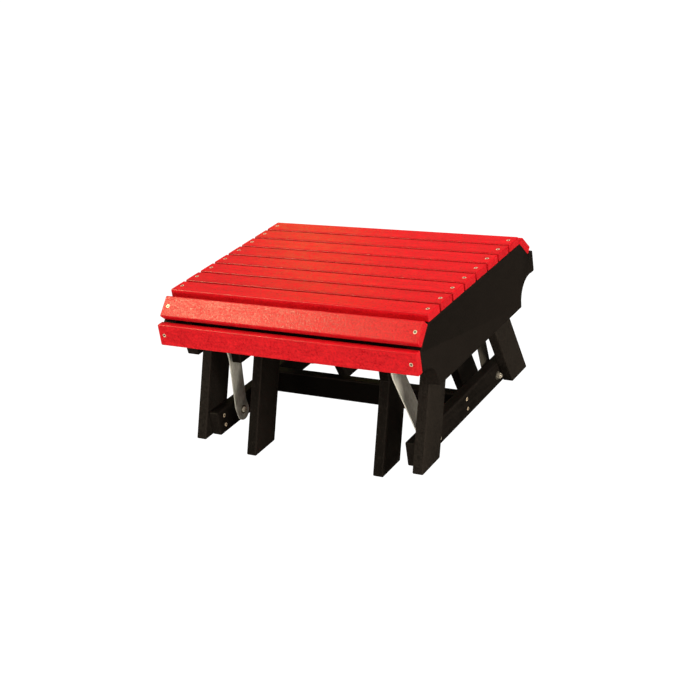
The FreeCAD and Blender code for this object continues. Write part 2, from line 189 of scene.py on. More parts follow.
def drilled(board, places, direction):
    """Countersinks a board at places, by cutting out a blunt cone for each. It starts above the face
    with a nearly straight rim and narrows from there to its blunt end."""
    blunt = COUNTERSINK_RADIUS * COUNTERSINK_BLUNT / COUNTERSINK_DEPTH
    radius = np.array([COUNTERSINK_RADIUS + COUNTERSINK_FLARE, COUNTERSINK_RADIUS, blunt])[:, None]
    depth = np.array([-COUNTERSINK_LIFT, COUNTERSINK_LIFT, COUNTERSINK_DEPTH])
    angle = round_angles(COUNTERSINK_SIDES)
    cones = np.concatenate([turned(radius, depth, angle, place, direction) for place in places])
    faces = []
    for first in range(0, len(cones), len(depth)):
        faces += grid_faces(len(depth), COUNTERSINK_SIDES, first * COUNTERSINK_SIDES)
    cutter = piece("cutter", cones.reshape(-1, 3), faces, board.data.materials[0])
    cut = board.modifiers.new("countersink", "BOOLEAN")
    cut.operation = "DIFFERENCE"
    cut.solver = "EXACT"
    cut.object = cutter
    shape = board.evaluated_get(bpy.context.evaluated_depsgraph_get())
    drilled_mesh = bpy.data.meshes.new_from_object(shape)
    board.modifiers.remove(cut)
    board.data = drilled_mesh
    drilled_mesh.set_sharp_from_angle(angle=SMOOTH_BELOW)
    bpy.data.objects.remove(cutter)


STREAK_STRETCH = (0.09, 1.0, 1.0)
SPECKLE_SHARE = 0.8
STREAK_SHARE = 0.28
PEBBLE_SHARE = 0.6
PEBBLE_RELIEF = 0.4 * MM
LUMBER_TONES = (0.37, 0.63)
GLOSS_GRAIN = (0.3, 0.7)
SOCKET_KINDS = {"float": "NodeSocketFloat", "color": "NodeSocketColor", "vector": "NodeSocketVector"}
MIX_SOCKETS = {"FLOAT": (0, 2, 3, 0), "RGBA": (0, 6, 7, 2)}


def socket_group(name, inputs, outputs):
    """An empty shader node group with the named sockets. Returns it with its two ends."""
    group = bpy.data.node_groups.new(name, "ShaderNodeTree")
    for in_out, sockets in (("INPUT", inputs), ("OUTPUT", outputs)):
        for label, kind in sockets.items():
            group.interface.new_socket(label, in_out=in_out, socket_type=SOCKET_KINDS[kind])
    return group, group.nodes.new("NodeGroupInput"), group.nodes.new("NodeGroupOutput")


def node(tree, kind, **values):
    """One shader node with its settings, and its inputs where a name matches one."""
    made = tree.nodes.new(kind)
    for key, value in values.items():
        label = key.replace("_", " ")
        if label in made.inputs and not hasattr(made, key):
            made.inputs[label].default_value = value
        else:
            setattr(made, key, value)
    return made


def mixed(tree, kind, share, first, second):
    """A Mix node of float or colour. Each of share, first and second is a value or a socket."""
    mix = node(tree, "ShaderNodeMix", data_type=kind)
    *places, result = MIX_SOCKETS[kind]
    for place, source in zip(places, (share, first, second)):
        if isinstance(source, bpy.types.NodeSocket):
            tree.links.new(source, mix.inputs[place])
        else:
            mix.inputs[place].default_value = source
    return mix.outputs[result]


def shifted_tone(tree, grain, ends, tone):
    """Grain spread so that its two ends become 0 and 1, then moved by tone and kept between them."""
    spread = node(tree, "ShaderNodeMapRange", From_Min=ends[0], From_Max=ends[1])
    shifted = node(tree, "ShaderNodeMath", operation="ADD", use_clamp=True)
    tree.links.new(grain, spread.inputs[0])
    tree.links.new(spread.outputs[0], shifted.inputs[0])
    tree.links.new(tone, shifted.inputs[1])
    return shifted.outputs[0]


def gloss_range(tree, grain, start):
    """Roughness that runs from the group's Smooth to its Rough as the grain goes through GLOSS_GRAIN."""
    gloss = node(tree, "ShaderNodeMapRange", From_Min=GLOSS_GRAIN[0], From_Max=GLOSS_GRAIN[1])
    tree.links.new(grain, gloss.inputs[0])
    tree.links.new(start.outputs["Smooth"], gloss.inputs["To Min"])
    tree.links.new(start.outputs["Rough"], gloss.inputs["To Max"])
    return gloss.outputs[0]


def lumber_skin_group():
    """Plastic lumber's skin. Soft cloud, fine speckle and streaks along the extrusion carry Colour
    from Deep to Pale, Tone shifts it, and worn edges lean to Edge Colour. Roughness follows cloud
    and speckle, and Height is the pebbling left by foam cells under the skin."""
    tree, start, end = socket_group(
        "lumber_skin",
        {"Vector": "vector", "Fine": "float", "Coarse": "float", "Tone": "float", "Edge": "float",
         "Deep": "color", "Pale": "color", "Edge Colour": "color", "Smooth": "float", "Rough": "float"},
        {"Colour": "color", "Roughness": "float", "Height": "float"}
    )
    fine = node(tree, "ShaderNodeTexNoise", Detail=3.0, Roughness=0.62)
    cloud = node(tree, "ShaderNodeTexNoise", Detail=4.0, Roughness=0.55)
    cells = node(tree, "ShaderNodeTexVoronoi", feature="SMOOTH_F1")
    stretch = node(tree, "ShaderNodeMapping", Scale=STREAK_STRETCH)
    streak = node(tree, "ShaderNodeTexNoise", Detail=3.0, Roughness=0.6)
    for target in (fine, cloud, cells, stretch):
        tree.links.new(start.outputs["Vector"], target.inputs["Vector"])
    tree.links.new(stretch.outputs[0], streak.inputs["Vector"])
    for target in (fine, streak, cells):
        tree.links.new(start.outputs["Fine"], target.inputs["Scale"])
    tree.links.new(start.outputs["Coarse"], cloud.inputs["Scale"])
    mottle = mixed(tree, "FLOAT", SPECKLE_SHARE, cloud.outputs[0], fine.outputs[0])
    both = mixed(tree, "FLOAT", STREAK_SHARE, mottle, streak.outputs[0])
    tone = shifted_tone(tree, both, LUMBER_TONES, start.outputs["Tone"])
    body = mixed(tree, "RGBA", tone, start.outputs["Deep"], start.outputs["Pale"])
    wear = node(tree, "ShaderNodeMath", operation="MULTIPLY")
    tree.links.new(start.outputs["Edge"], wear.inputs[0])
    tree.links.new(mottle, wear.inputs[1])
    edged = mixed(tree, "RGBA", wear.outputs[0], body, start.outputs["Edge Colour"])
    height = node(tree, "ShaderNodeMath", operation="MULTIPLY_ADD")
    height.inputs[1].default_value = PEBBLE_SHARE
    tree.links.new(cells.outputs["Distance"], height.inputs[0])
    tree.links.new(fine.outputs[0], height.inputs[2])
    tree.links.new(edged, end.inputs["Colour"])
    tree.links.new(gloss_range(tree, mottle, start), end.inputs["Roughness"])
    tree.links.new(height.outputs[0], end.inputs["Height"])
    return tree


LUMBER_SKIN = lumber_skin_group()


def skinned(name, group, bump_distance, relief, values):
    """A material whose shader takes colour, roughness and bump from a group with the given values.
    The piece's edge and tone attributes go in where the group has sockets for them. Returns the
    material, its shader, the group's node and the Object coordinates."""
    made = bpy.data.materials.new(name)
    made.use_nodes = True
    tree = made.node_tree
    shader = tree.nodes["Principled BSDF"]
    where = node(tree, "ShaderNodeTexCoord")
    skin = node(tree, "ShaderNodeGroup", node_tree=group)
    for label, value in values.items():
        skin.inputs[label].default_value = value
    for label in ("Tone", "Edge"):
        if label in skin.inputs:
            drawn = node(tree, "ShaderNodeAttribute", attribute_name=label.lower())
            tree.links.new(drawn.outputs["Fac"], skin.inputs[label])
    tree.links.new(skin.outputs["Colour"], shader.inputs["Base Color"])
    tree.links.new(skin.outputs["Roughness"], shader.inputs["Roughness"])
    bump = node(tree, "ShaderNodeBump", Strength=relief, Distance=bump_distance)
    tree.links.new(skin.outputs["Height"], bump.inputs["Height"])
    tree.links.new(bump.outputs[0], shader.inputs["Normal"])
    return made, shader, skin, where.outputs["Object"]


def lumber(name, colours, tilt=(0, 0, 0), rough=(0.42, 0.58), relief=0.4, specular=0.05):
    """Through-coloured plastic lumber in a deep, a pale and an edge colour. Its streaks run along X
    turned by tilt."""
    deep, pale, edge = colours
    made, shader, skin, where = skinned(name, LUMBER_SKIN, PEBBLE_RELIEF, relief, {
        "Fine": 230.0, "Coarse": 38.0, "Deep": (*deep, 1), "Pale": (*pale, 1), "Edge Colour": (*edge, 1),
        "Smooth": rough[0], "Rough": rough[1]
    })
    shader.inputs["Specular IOR Level"].default_value = specular
    turn = node(made.node_tree, "ShaderNodeMapping", Rotation=tilt)
    made.node_tree.links.new(where, turn.inputs["Vector"])
    made.node_tree.links.new(turn.outputs[0], skin.inputs["Vector"])
    return made


RED = [(0.52, 0.003, 0.012), (0.86, 0.010, 0.023), (0.62, 0.006, 0.016)]
TONE_WANDER = 0.16
TONE_STEP = 2.4
red_lumber = lumber("red_lumber", RED, rough=(0.20, 0.66), relief=1.0, specular=0.22)
slat_middles = {}
for number in range(1, SLAT_COUNT + 1):
    low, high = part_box(f"top_slat_{number}")
    slat_middles[number] = (low.y + high.y) / 2
    corners = [(low.y, low.z), (high.y, low.z), (high.y, high.z), (low.y, high.z)]
    radii = [SLAT_UNDER_ROUND, SLAT_UNDER_ROUND, SLAT_ROUND, SLAT_ROUND]
    points, faces, share = board_surface(corners, radii, low.x, high.x, SLAT_END_ROUND)
    tone = TONE_WANDER * math.sin(TONE_STEP * number)
    slat = piece(f"red_top_slat_{number}", points, faces, red_lumber, share, tone)
    holes = [(x, slat_middles[number], high.z) for x in (low.x + SCREW_INSET, high.x - SCREW_INSET)]
    drilled(slat, holes, (0, 0, -1))
    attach(slat, "seat")
    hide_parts(f"top_slat_{number}")
SLAT_TOP = high.z
SLAT_LEFT, SLAT_RIGHT = low.x, high.x
SLAT_THICK = high.z - low.z
SLAT_WIDE = high.y - low.y

# Front and rear slats. Red lumber of the same section lies on the panels' 45 degree shoulders and
# stands against their front edges, and a black board stands against the rear ones. All have the
# slats' rounded outer edges and a screw at each end.
ENDS = {"front": -1, "rear": 1}
SHOULDER_Y = 229.0 * MM
SHOULDER_DROP = {"front": 2.5 * MM, "rear": 6.0 * MM}
END_SLAT_TONE = 0.05
BLACK = [(0.0040, 0.0034, 0.0032), (0.0155, 0.0135, 0.0128), (0.019, 0.016, 0.015)]
black_lumber = lumber("black_lumber", BLACK)


def sloped_section(end):
    """Corners of a slat on the 45 degree shoulder, its middle, and the way in. It starts SHOULDER_DROP
    down the slope from the shoulder's edge; along and outward are unit steps down and off the slope."""
    half = math.sqrt(0.5)
    way = ENDS[end]
    along = np.array([way * half, -half])
    outward = np.array([way * half, half])
    start = np.array([way * SHOULDER_Y, SLAT_TOP - SLAT_THICK]) + along * SHOULDER_DROP[end]
    under = [start, start + along * SLAT_WIDE]
    outer = [start + along * SLAT_WIDE + outward * SLAT_THICK, start + outward * SLAT_THICK]
    middle = start + along * SLAT_WIDE / 2 + outward * SLAT_THICK
    return under + outer, middle, -outward


end_screws = {"front": [], "rear": []}
for cad_name, end, sloped, material, slot in (
    ("front_slat_upper", "front", True, red_lumber, "red_lumber"),
    ("front_slat_lower", "front", False, red_lumber, "red_lumber"),
    ("rear_slat_upper", "rear", True, red_lumber, "red_lumber"),
    ("rear_board", "rear", False, black_lumber, "black_lumber"),
):
    way = ENDS[end]
    if sloped:
        corners, middle, inward = sloped_section(end)
    else:
        low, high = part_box(cad_name)
        inner, outer = (high.y, low.y) if way < 0 else (low.y, high.y)
        corners = [(inner, low.z), (inner, high.z), (outer, high.z), (outer, low.z)]
        middle = np.array([outer, (low.z + high.z) / 2])
        inward = np.array([-way, 0.0])
    corners = np.array(corners)
    radii = np.array([SLAT_UNDER_ROUND, SLAT_UNDER_ROUND, SLAT_ROUND, SLAT_ROUND])
    y, z = corners.T
    if (y * np.roll(z, -1) - z * np.roll(y, -1)).sum() < 0:
        corners, radii = corners[::-1], radii[::-1]
    points, faces, share = board_surface(corners, radii, SLAT_LEFT, SLAT_RIGHT, SLAT_END_ROUND)
    slat = piece(f"{cad_name}_board", points, faces, material, share, END_SLAT_TONE)
    holes = [(x, *middle) for x in (SLAT_LEFT + SCREW_INSET, SLAT_RIGHT - SCREW_INSET)]
    drilled(slat, holes, (0, *inward))
    end_screws[end] += [(place, (0, *inward)) for place in holes]
    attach(slat, "seat")
    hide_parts(cad_name)

# Side panels. Black lumber 1 1/4 in thick, sawn with sloped shoulders and a quarter-round cut-out
# at each lower corner, its rims eased with a router. The slats are screwed to them.
SIDES = {"left": -1, "right": 1}
PANEL_EASE = 2.4 * MM
CUT_OUT = 60.0 * MM
CUT_OUT_RADIUS = 56.6 * MM
CUT_OUT_EDGE = 4.0 * MM
CORNER_ROUND = 3.0 * MM
SHOULDER_ROUND = 5.0 * MM
for side in SIDES:
    low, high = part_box(f"side_panel_{side}")
    hollow = high.y - CUT_OUT_EDGE - CUT_OUT
    hollow_top = low.z + CUT_OUT
    shoulder = high.z - (high.y - SHOULDER_Y)
    half_outline = [
        (hollow, low.z), (hollow, hollow_top), (high.y, hollow_top), (high.y, shoulder),
        (SHOULDER_Y, high.z)
    ]
    corners = half_outline + [(-y, z) for y, z in half_outline[::-1]]
    radii = [CORNER_ROUND, CUT_OUT_RADIUS, CORNER_ROUND, SHOULDER_ROUND, SHOULDER_ROUND]
    radii = radii + radii[::-1]
    points, faces, share = board_surface(corners, radii, low.x, high.x, PANEL_EASE)
    panel = piece(f"panel_{side}", points, faces, black_lumber, share)
    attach(panel, "seat")
    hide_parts(f"side_panel_{side}")

# Leaning legs. Black boards, 1 in by 3 in, set 23 degrees off upright, with feet and tops cut level.
# Four hang inside the panels with the seat, and four stand on the floor and carry the base rails.
LEAN = math.radians(23)
LEG_WIDE = 76.2 * MM / math.cos(LEAN)
BOARD_ROUND = 3.2 * MM
BOARD_END = 2.6 * MM
SWING_MIDDLE = 4.0 * MM
SEAT_FOOT_Y = 275.5 * MM
BASE_FOOT_Y = 254.0 * MM
BASE_SCREW_OFFSET = 24.0 * MM
SEAT_LEG_SCREW_HEIGHTS = (260.0 * MM, 324.0 * MM)
SCREW_MARGIN = 16.4 * MM
SEAT_LEG_TONE = 0.05
# Painted shade: the base legs are toned darker, for the shade under the seat.
BASE_LEG_PAINTED_SHADE = -0.45
# Painted light: the legs' black lumber is made lighter than the panels', for the light on the legs' faces.
LEG_BLACK_PAINTED_LIGHT = [(0.0090, 0.0078, 0.0073), (0.0265, 0.0235, 0.0220), (0.028, 0.024, 0.022)]


def leg_corners(way, foot_y, low_z, high_z, middle):
    """A leaning leg: its foot's outer corner lies foot_y from middle, and it leans in as it rises."""
    lean = math.tan(LEAN) * (high_z - low_z)
    corners = [(foot_y, low_z), (foot_y - lean, high_z), (foot_y - LEG_WIDE - lean, high_z),
               (foot_y - LEG_WIDE, low_z)]
    corners = [(middle + way * y, z) for y, z in corners]
    return corners if way > 0 else corners[::-1]


def leg_middle(way, foot_y, low_z, z, middle):
    """The middle of a leg's width at height z."""
    return middle + way * (foot_y - LEG_WIDE / 2 - math.tan(LEAN) * (z - low_z))


leg_lumber = {
    end: lumber(
        f"black_lumber_leg_painted_light_{end}", LEG_BLACK_PAINTED_LIGHT, tilt=(way * LEAN, math.radians(90), 0), specular=0.07
    )
    for end, way in ENDS.items()
}
leg_screws = {"seat": [], "base": []}
base_rail_low, base_rail_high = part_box("base_rail_right")
base_heights = (base_rail_low.z + SCREW_MARGIN, base_rail_high.z - SCREW_MARGIN)
for set_name, foot_y, middle, shift, heights, tone in (
    ("seat", SEAT_FOOT_Y, 0.0, 0.0, SEAT_LEG_SCREW_HEIGHTS, SEAT_LEG_TONE),
    ("base", BASE_FOOT_Y, SWING_MIDDLE, BASE_SCREW_OFFSET, base_heights, BASE_LEG_PAINTED_SHADE),
):
    for end, way in ENDS.items():
        for side, sign in SIDES.items():
            low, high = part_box(f"{set_name}_leg_{end}_{side}")
            corners = leg_corners(way, foot_y, low.z, high.z, middle)
            points, faces, share = board_surface(corners, [BOARD_ROUND] * 4, low.x, high.x, BOARD_END)
            leg = piece(
                f"{set_name}_leg_board_{end}_{side}", points, faces, leg_lumber[end], share, tone
            )
            inner_x = low.x if sign > 0 else high.x
            holes = [
                (inner_x, leg_middle(way, foot_y, low.z, z, middle) + way * shift, z) for z in heights
            ]
            drilled(leg, holes, (sign, 0, 0))
            leg_screws[set_name] += [(place, (sign, 0, 0)) for place in holes]
            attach(leg, set_name)
            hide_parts(f"{set_name}_leg_{end}_{side}")

# Rails, stretcher and cross boards. Black 1 in boards cut square: two low rails that hang from the
# bars, with the stretcher screwed between them, two base rails screwed to the outer faces of the
# base's legs, and two cross boards that tie the base's sides.
CROSS_BOARD_Y = 95.0 * MM
# Painted light: the low rails are toned lighter, for the light falling on them.
LOW_RAIL_PAINTED_LIGHT = 0.3
# Painted shade: the base rails are toned darker, for the shade they lie in.
UPPER_RAIL_PAINTED_SHADE = -0.6
# Painted shade: the stretcher, cross boards and seat brace are toned darker, for the shade under the seat.
PAINTED_SHADE_TONE = -0.8
rail_lumber = lumber("black_lumber_rail", BLACK, tilt=(0, 0, math.radians(90)))


def square_board(cad_name, piece_name, body, material, tone):
    """A straight board the size of its CAD node's box. Returns it with the box's corners."""
    low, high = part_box(cad_name)
    corners = [(low.y, low.z), (high.y, low.z), (high.y, high.z), (low.y, high.z)]
    points, faces, share = board_surface(corners, [BOARD_ROUND] * 4, low.x, high.x, BOARD_END)
    made = piece(piece_name, points, faces, material, share, tone)
    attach(made, body)
    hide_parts(cad_name)
    return made, low, high


rail_to_leg = []
rail_to_stretcher = []
cross_screws = []
for side, sign in SIDES.items():
    rail, low, high = square_board(
        f"lower_rail_{side}", f"low_rail_{side}", "seat", rail_lumber, LOW_RAIL_PAINTED_LIGHT
    )
    inner_x, outer_x = (low.x, high.x) if sign > 0 else (high.x, low.x)
    middle_z = (low.z + high.z) / 2
    heights = (low.z + SCREW_MARGIN, high.z - SCREW_MARGIN)
    foot_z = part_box(f"seat_leg_front_{side}")[0].z
    inside = [
        (inner_x, leg_middle(way, SEAT_FOOT_Y, foot_z, middle_z, 0.0), z)
        for way in ENDS.values() for z in heights
    ]
    outside = [(outer_x, SWING_MIDDLE, z) for z in heights]
    drilled(rail, inside, (sign, 0, 0))
    drilled(rail, outside, (-sign, 0, 0))
    rail_to_leg += [(place, (sign, 0, 0)) for place in inside]
    rail_to_stretcher += [(place, (-sign, 0, 0)) for place in outside]

    rail, low, high = square_board(
        f"base_rail_{side}", f"upper_rail_{side}", "base", rail_lumber, UPPER_RAIL_PAINTED_SHADE
    )
    outer_x = high.x if sign > 0 else low.x
    outside = [
        (outer_x, SWING_MIDDLE + way * CROSS_BOARD_Y, z) for way in ENDS.values() for z in base_heights
    ]
    drilled(rail, outside, (-sign, 0, 0))
    cross_screws += [(place, (-sign, 0, 0)) for place in outside]
square_board("stretcher", "stretcher_board", "seat", black_lumber, PAINTED_SHADE_TONE)
for end in ENDS:
    square_board(f"cross_board_{end}", f"cross_tie_{end}", "base", black_lumber, PAINTED_SHADE_TONE)

# Seat brace. A black board on edge between the side panels, close under the first slat. It stiffens
# the frame and shuts off the view through the gaps above and below the sloped slat.
BRACE_FRONT = -215.0 * MM
BRACE_THICK = 25.4 * MM
BRACE_BOTTOM = 291.0 * MM
BRACE_GAP = 0.05 * MM
panel_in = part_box("side_panel_right")[0].x
brace_top = SLAT_TOP - SLAT_THICK - BRACE_GAP
corners = [
    (BRACE_FRONT, BRACE_BOTTOM), (BRACE_FRONT + BRACE_THICK, BRACE_BOTTOM),
    (BRACE_FRONT + BRACE_THICK, brace_top), (BRACE_FRONT, brace_top)
]
points, faces, share = board_surface(corners, [BOARD_ROUND] * 4, -panel_in, panel_in, BOARD_END)
# The brace is toned darker as painted shade.
brace = piece("seat_brace_front", points, faces, black_lumber, share, PAINTED_SHADE_TONE)
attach(brace, "seat")

# Screws. Countersunk stainless wood screws with a square drive socket, driven until the head lies a
# little under the surface. One piece for each set of like screws.
HEAD_RADIUS = 4.35 * MM
HEAD_SINK = 0.35 * MM
HEAD_CONE = 3.0 * MM
SOCKET_HALF = 1.5 * MM
SOCKET_DEPTH = 1.9 * MM
SOCKET_TURN = math.radians(20)
SOCKET_RINGS = 4
SHANK_RADIUS = 2.1 * MM
POINT_RADIUS = 0.3 * MM
POINT_LONG = 5.0 * MM
SCREW_LONG = 43.0 * MM
SCREW_SIDES = 32
SPOT_SCALE = 0.12
SPOT_SHARE = 0.5
METAL_TONES = (0.35, 0.65)
GRAIN_RELIEF = 0.2 * MM
# Rings as radius, depth and squareness: socket tip, floor, wall and mouth, then the head's crown,
# shoulder, rim and underside, then the shank's two ends and the point.
SCREW_RINGS = np.array([
    (SOCKET_HALF * 0.15, HEAD_SINK + SOCKET_DEPTH + 0.3 * MM, 0.0),
    (SOCKET_HALF * 0.86, HEAD_SINK + SOCKET_DEPTH, 1.0),
    (SOCKET_HALF * 0.97, HEAD_SINK + 0.15 * MM, 1.0),
    (SOCKET_HALF * 1.06, HEAD_SINK, 1.0),
    (HEAD_RADIUS - 1.2 * MM, HEAD_SINK - 0.12 * MM, 0.0),
    (HEAD_RADIUS - 0.35 * MM, HEAD_SINK - 0.10 * MM, 0.0),
    (HEAD_RADIUS, HEAD_SINK + 0.18 * MM, 0.0),
    (HEAD_RADIUS - 0.1 * MM, HEAD_SINK + 0.5 * MM, 0.0),
    (SHANK_RADIUS, HEAD_SINK + HEAD_CONE, 0.0),
    (SHANK_RADIUS, SCREW_LONG - POINT_LONG, 0.0),
    (POINT_RADIUS, SCREW_LONG, 0.0)
])


def screw_points(place, direction):
    """A screw as rings: ring i has radius r_i / max(|cos a|, |sin a|) ** q_i at angle a, so q runs
    from 1, the square of the socket, to 0, the round of the head."""
    radius, depth, square = SCREW_RINGS.T
    angle = round_angles(SCREW_SIDES) + SOCKET_TURN
    ease = np.maximum(np.abs(np.cos(angle)), np.abs(np.sin(angle)))
    return turned(radius[:, None] / ease ** square[:, None], depth, angle, place, direction)


def metal_grain_group():
    """Bare metal's grain. Lines drawn out by Stretch and soft spots carry Colour from Dark to Light,
    and Tone shifts it. Roughness and Height follow the lines."""
    tree, start, end = socket_group(
        "metal_grain",
        {"Vector": "vector", "Stretch": "vector", "Scale": "float", "Tone": "float",
         "Dark": "color", "Light": "color", "Smooth": "float", "Rough": "float"},
        {"Colour": "color", "Roughness": "float", "Height": "float"}
    )
    drawn = node(tree, "ShaderNodeMapping")
    lines = node(tree, "ShaderNodeTexNoise", Detail=5.0, Roughness=0.65)
    spots = node(tree, "ShaderNodeTexNoise", Detail=3.0)
    spot_scale = node(tree, "ShaderNodeMath", operation="MULTIPLY")
    spot_scale.inputs[1].default_value = SPOT_SCALE
    tree.links.new(start.outputs["Vector"], drawn.inputs["Vector"])
    tree.links.new(start.outputs["Stretch"], drawn.inputs["Scale"])
    tree.links.new(drawn.outputs[0], lines.inputs["Vector"])
    tree.links.new(start.outputs["Scale"], lines.inputs["Scale"])
    tree.links.new(start.outputs["Scale"], spot_scale.inputs[0])
    tree.links.new(start.outputs["Vector"], spots.inputs["Vector"])
    tree.links.new(spot_scale.outputs[0], spots.inputs["Scale"])
    both = mixed(tree, "FLOAT", SPOT_SHARE, lines.outputs[0], spots.outputs[0])
    tone = shifted_tone(tree, both, METAL_TONES, start.outputs["Tone"])
    colour = mixed(tree, "RGBA", tone, start.outputs["Dark"], start.outputs["Light"])
    tree.links.new(colour, end.inputs["Colour"])
    tree.links.new(gloss_range(tree, lines.outputs[0], start), end.inputs["Roughness"])
    tree.links.new(lines.outputs[0], end.inputs["Height"])
    return tree


METAL_GRAIN = metal_grain_group()


def bare_metal(name, dark, light, rough, scale, metallic, stretch=(1, 1, 1), relief=0.04, socket_shade=None):
    """Bare metal in a dark and a light tone, its grain drawn out along one axis by stretch. Where the
    edge attribute is 1, as in a screw's socket, it takes the colour socket_shade, which is painted shade."""
    made, shader, skin, where = skinned(name, METAL_GRAIN, GRAIN_RELIEF, relief, {
        "Stretch": stretch, "Scale": scale, "Dark": (*dark, 1), "Light": (*light, 1),
        "Smooth": rough[0], "Rough": rough[1]
    })
    shader.inputs["Metallic"].default_value = metallic
    tree = made.node_tree
    tree.links.new(where, skin.inputs["Vector"])
    if socket_shade:
        inside = node(tree, "ShaderNodeAttribute", attribute_name="edge")
        shaded_socket = mixed(tree, "RGBA", inside.outputs["Fac"], skin.outputs["Colour"], (*socket_shade, 1))
        tree.links.new(shaded_socket, shader.inputs["Base Color"])
    return made


# Painted highlight: the screws' steel is coloured a pale warm cream, for the warm glints on their heads.
screw_steel = bare_metal(
    "screw_steel", (0.86, 0.72, 0.56), (1.0, 0.90, 0.74), (0.3, 0.45), 900.0, 0.1,
    socket_shade=(0.05, 0.035, 0.015)
)
top_screws = [
    ((x, y, SLAT_TOP), (0, 0, -1)) for y in slat_middles.values()
    for x in (SLAT_LEFT + SCREW_INSET, SLAT_RIGHT - SCREW_INSET)
]
# Painted shade: the socket's rings are marked so that they take the dark socket colour.
socket = np.zeros((len(SCREW_RINGS), SCREW_SIDES))
socket[:SOCKET_RINGS] = 1
for cad_name, body, screws in (
    ("top_slat_screws", "seat", top_screws),
    ("front_slat_screws", "seat", end_screws["front"]),
    ("rear_slat_screws", "seat", end_screws["rear"]),
    ("seat_leg_screws", "seat", leg_screws["seat"]),
    ("base_leg_screws", "base", leg_screws["base"]),
    ("rail_screws", "seat", rail_to_leg),
    ("stretcher_screws", "seat", rail_to_stretcher),
    ("cross_board_screws", "base", cross_screws)
):
    points = np.concatenate([screw_points(place, direction) for place, direction in screws])
    faces = []
    for first in range(0, len(points), len(SCREW_RINGS)):
        faces += grid_faces(len(SCREW_RINGS), SCREW_SIDES, first * SCREW_SIDES)
    inside = np.tile(socket.ravel(), len(screws))
    screw_set = piece(f"{cad_name}_steel", points.reshape(-1, 3), faces, screw_steel, inside)
    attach(screw_set, body)
    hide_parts(cad_name)

# Swing bars. Flat aluminium bar, 1 3/4 in by 1/8 in with sawn and rounded ends, joggled so that
# both ends lie square to their bolts. Plain nylon bushes line all eyes but the two rear lower ones.
BAR_WIDE = 44.45 * MM
BAR_THICK = 3.175 * MM
BAR_END = 26.7 * MM
BAR_TAB = 18.0 * MM
BAR_BEND = 0.8 * MM
BAR_EDGE = 0.45 * MM
BAR_EDGE_STEPS = 4
BAR_END_ROWS = 22
BAR_END_SHARE = 0.985
BAR_BEND_ROWS = 7
BAR_MIDDLE_ROWS = 12
BAR_MIDDLE_FROM = 26.0 * MM
BAR_THINNEST = 0.05 * MM
# Painted light and shade: the right bars are toned lighter and the left ones a little darker, for how the
# light falls on them.
BAR_PAINTED_LIGHT = {"left": -0.08, "right": 0.4}
BAR_STRETCH = (1, 1, 0.08)
BAR_RELIEF = 0.05
FACE_GAP = 0.2 * MM
WASHER_THICK = 1.8 * MM
UPPER_SPACER = 6.0 * MM
UPPER_Y, UPPER_Z = 192.0 * MM, 245.0 * MM
LOWER_Y, LOWER_Z = 160.0 * MM, 65.0 * MM
EYE_DISTANCE = math.hypot(UPPER_Y - LOWER_Y, UPPER_Z - LOWER_Z)
BAR_LEAN = math.atan2(UPPER_Y - LOWER_Y, UPPER_Z - LOWER_Z)
low_rail_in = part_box("lower_rail_right")[0].x
low_rail_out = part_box("lower_rail_right")[1].x
base_rail_out = base_rail_high.x
base_rail_in = base_rail_low.x


def bar_surface(lower_x, upper_x, way):
    """A flat bar: a rounded rectangle of half width w(s) carried along a joggled line x(s).

    w is the half width, but at an end it follows a half circle: sqrt(r^2 - d^2), d past the end's
    centre. x is level, a straight slant, then level, each bend a parabola BAR_BEND long either way."""
    reach = BAR_WIDE / 2
    past = BAR_END - reach
    sweep = np.sin(np.linspace(BAR_END_SHARE * math.pi / 2, 0, BAR_END_ROWS))
    low_end = -past - reach * sweep
    bend = np.linspace(-BAR_BEND, BAR_BEND, BAR_BEND_ROWS)
    middle = np.linspace(BAR_MIDDLE_FROM, EYE_DISTANCE - BAR_MIDDLE_FROM, BAR_MIDDLE_ROWS)
    s = np.sort(np.concatenate([
        low_end, BAR_TAB + bend, EYE_DISTANCE - BAR_TAB + bend, middle, EYE_DISTANCE - low_end
    ]))
    over = np.clip(np.maximum(-past - s, s - EYE_DISTANCE - past), 0, reach)
    half_wide = np.sqrt(reach ** 2 - over ** 2)

    def ramp(at):
        d = s - at
        bent = (d + BAR_BEND) ** 2 / (4 * BAR_BEND)
        return np.where(d < -BAR_BEND, 0, np.where(d > BAR_BEND, d, bent))

    rise = (upper_x - lower_x) / (EYE_DISTANCE - 2 * BAR_TAB)
    x = lower_x + rise * (ramp(BAR_TAB) - ramp(EYE_DISTANCE - BAR_TAB))
    slope = np.gradient(x, s)
    across = np.stack([np.ones_like(s), -slope], -1) / np.sqrt(1 + slope ** 2)[:, None]
    quarter = np.linspace(0, math.pi / 2, BAR_EDGE_STEPS)
    round_edge = np.concatenate([quarter + corner * math.pi / 2 for corner in range(4)])
    wide_sign = np.repeat([1, -1, -1, 1], BAR_EDGE_STEPS)
    thick_sign = np.repeat([1, 1, -1, -1], BAR_EDGE_STEPS)
    flat_half = (half_wide[:, None] - BAR_EDGE).clip(BAR_THINNEST)
    wide = wide_sign * flat_half + BAR_EDGE * np.cos(round_edge)
    thick = thick_sign * (BAR_THICK / 2 - BAR_EDGE) + BAR_EDGE * np.sin(round_edge)
    flat_x = x[:, None] + thick[None] * across[:, :1]
    flat_z = s[:, None] + thick[None] * across[:, 1:]
    turn = -way * BAR_LEAN
    y = wide * math.cos(turn) - flat_z * math.sin(turn) + SWING_MIDDLE + way * LOWER_Y
    z = wide * math.sin(turn) + flat_z * math.cos(turn) + LOWER_Z
    return np.stack([flat_x, y, z], -1)


